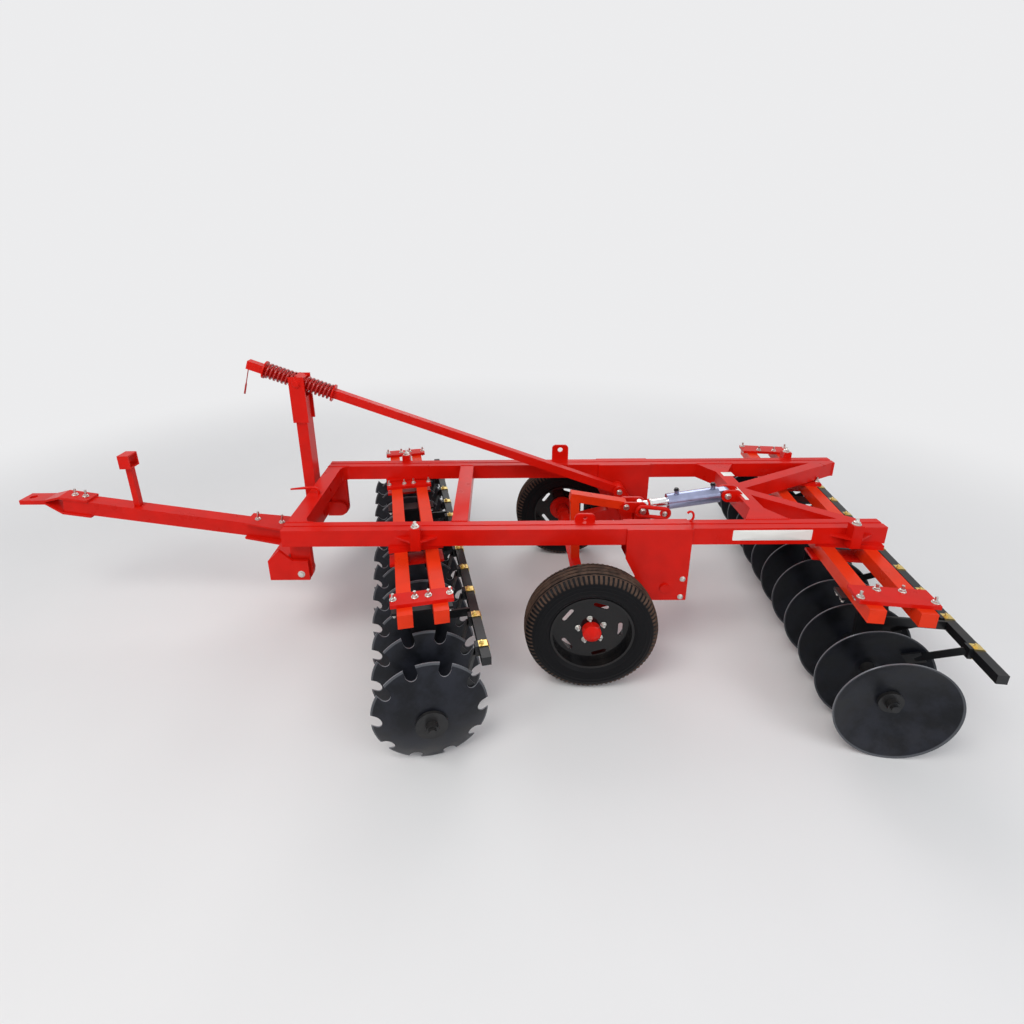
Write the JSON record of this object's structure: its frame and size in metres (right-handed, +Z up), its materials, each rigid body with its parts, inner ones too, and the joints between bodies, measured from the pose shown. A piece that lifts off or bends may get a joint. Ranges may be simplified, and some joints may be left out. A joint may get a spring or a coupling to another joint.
{
  "type": "trailed offset disc harrow",
  "caption": "Red trailed offset disc harrow with two gangs of black discs under a two-beam frame, transport wheels, a lift cylinder, a sprung levelling rod and a drawbar",
  "frame": {"origin": "On the ground under the middle of the harrow's length and width", "axes": "+X points to the rear, away from the hitch; +Y points to the machine's right side; +Z is up"},
  "size_m": [6.1596, 2.8616, 1.8285],
  "materials": {
    "red_paint": "gloss",
    "orange_paint": "gloss",
    "spring_paint": "satin",
    "black_steel": "satin",
    "disc_steel": "satin",
    "tyre_rubber": "matte",
    "rim_black": "gloss",
    "cylinder_paint": "gloss",
    "rod_chrome": "polished",
    "zinc": "satin",
    "yellow_zinc": "satin",
    "label_white": "gloss"
  },
  "bodies": {
    "frame": {"left_beam": "red_paint", "right_beam": "red_paint", "front_crossbeam": "red_paint", "mid_crossmember": "red_paint", "rear_crossmember": "red_paint", "rear_braces": "red_paint", "hinge_lugs": "red_paint", "wheel_brackets": "red_paint", "lock_ears": "red_paint", "front_gang_tubes": "orange_paint", "front_tie_plates": "red_paint", "front_clamps": "red_paint", "front_hangers": "black_steel", "front_scraper_bar": "black_steel", "front_scrapers": "black_steel", "rear_gang_tubes": "orange_paint", "rear_tie_plates": "red_paint", "rear_clamps": "red_paint", "rear_hangers": "black_steel", "rear_scraper_bar": "black_steel", "rear_scrapers": "black_steel"},
    "front_gang": {"front_discs": "disc_steel", "front_axle": "black_steel"},
    "rear_gang": {"rear_discs": "disc_steel", "rear_axle": "black_steel"},
    "lift": {"rockshaft": "red_paint", "wheel_arms": "red_paint", "wheel_axle_tube": "red_paint", "lift_levers": "red_paint", "lift_post": "orange_paint"},
    "left_wheel": {"left_tyre": "tyre_rubber", "left_rim": "rim_black", "left_hub": "red_paint"},
    "right_wheel": {"right_tyre": "tyre_rubber", "right_rim": "rim_black", "right_hub": "red_paint"},
    "lift_barrel": {"cylinder_barrel": "cylinder_paint"},
    "lift_piston": {"cylinder_rod": "rod_chrome"},
    "drawbar": {"hinge_beam": "red_paint", "drawbar_yoke": "red_paint", "drawbar_tube": "red_paint", "hitch_straps": "red_paint", "hose_post": "red_paint", "mast": "red_paint", "mast_fork": "red_paint"},
    "leveller": {"levelling_rod": "red_paint", "front_spring": "spring_paint", "rear_spring": "spring_paint"}
  },
  "joints": [
    {"name": "front_gang_turn", "type": "hinge", "parent": "frame", "child": "front_gang", "pos_m": [-0.314, 0, 0.305], "axis": [-0.1994, 0.9799, 0], "continuous": true},
    {"name": "rear_gang_turn", "type": "hinge", "parent": "frame", "child": "rear_gang", "pos_m": [2.519, 0, 0.305], "axis": [0.1392, 0.9903, 0], "continuous": true},
    {"name": "lift_turn", "type": "hinge", "parent": "frame", "child": "lift", "pos_m": [1.342, 0, 0.535], "axis": [0, -1, 0], "range_deg": [-20, 20]},
    {"name": "left_wheel_turn", "type": "hinge", "parent": "lift", "child": "left_wheel", "pos_m": [0.85434, -0.747, 0.4], "axis": [0, 1, 0], "continuous": true},
    {"name": "right_wheel_turn", "type": "hinge", "parent": "lift", "child": "right_wheel", "pos_m": [0.85434, 0.747, 0.4], "axis": [0, 1, 0], "continuous": true},
    {"name": "barrel_swing", "type": "hinge", "parent": "frame", "child": "lift_barrel", "pos_m": [1.877, -0.042, 0.93], "axis": [0, -1, 0], "range_deg": [-0.35, 0.35]},
    {"name": "piston_stroke", "type": "slide", "parent": "lift_barrel", "child": "lift_piston", "axis": [-0.9883, 0, -0.1526], "range_m": [-0.1055, 0.1055]},
    {"name": "drawbar_hinge", "type": "hinge", "parent": "frame", "child": "drawbar", "pos_m": [-0.958, 0, 0.6], "axis": [0, -1, 0], "range_deg": [-4.18, 4.18]},
    {"name": "leveller_swing", "type": "hinge", "parent": "lift", "child": "leveller", "pos_m": [1.216, 0.3, 0.799], "axis": [0, -1, 0], "range_deg": [-20.84, 20.84]}
  ],
  "couplings": [
    {"joint": "barrel_swing", "follows": "lift_turn", "ratio": -0.015},
    {"joint": "piston_stroke", "follows": "lift_turn", "m_per_rad": 0.3016},
    {"joint": "drawbar_hinge", "follows": "lift_turn", "ratio": 0.208},
    {"joint": "leveller_swing", "follows": "lift_turn", "ratio": -1.0408}
  ]
}
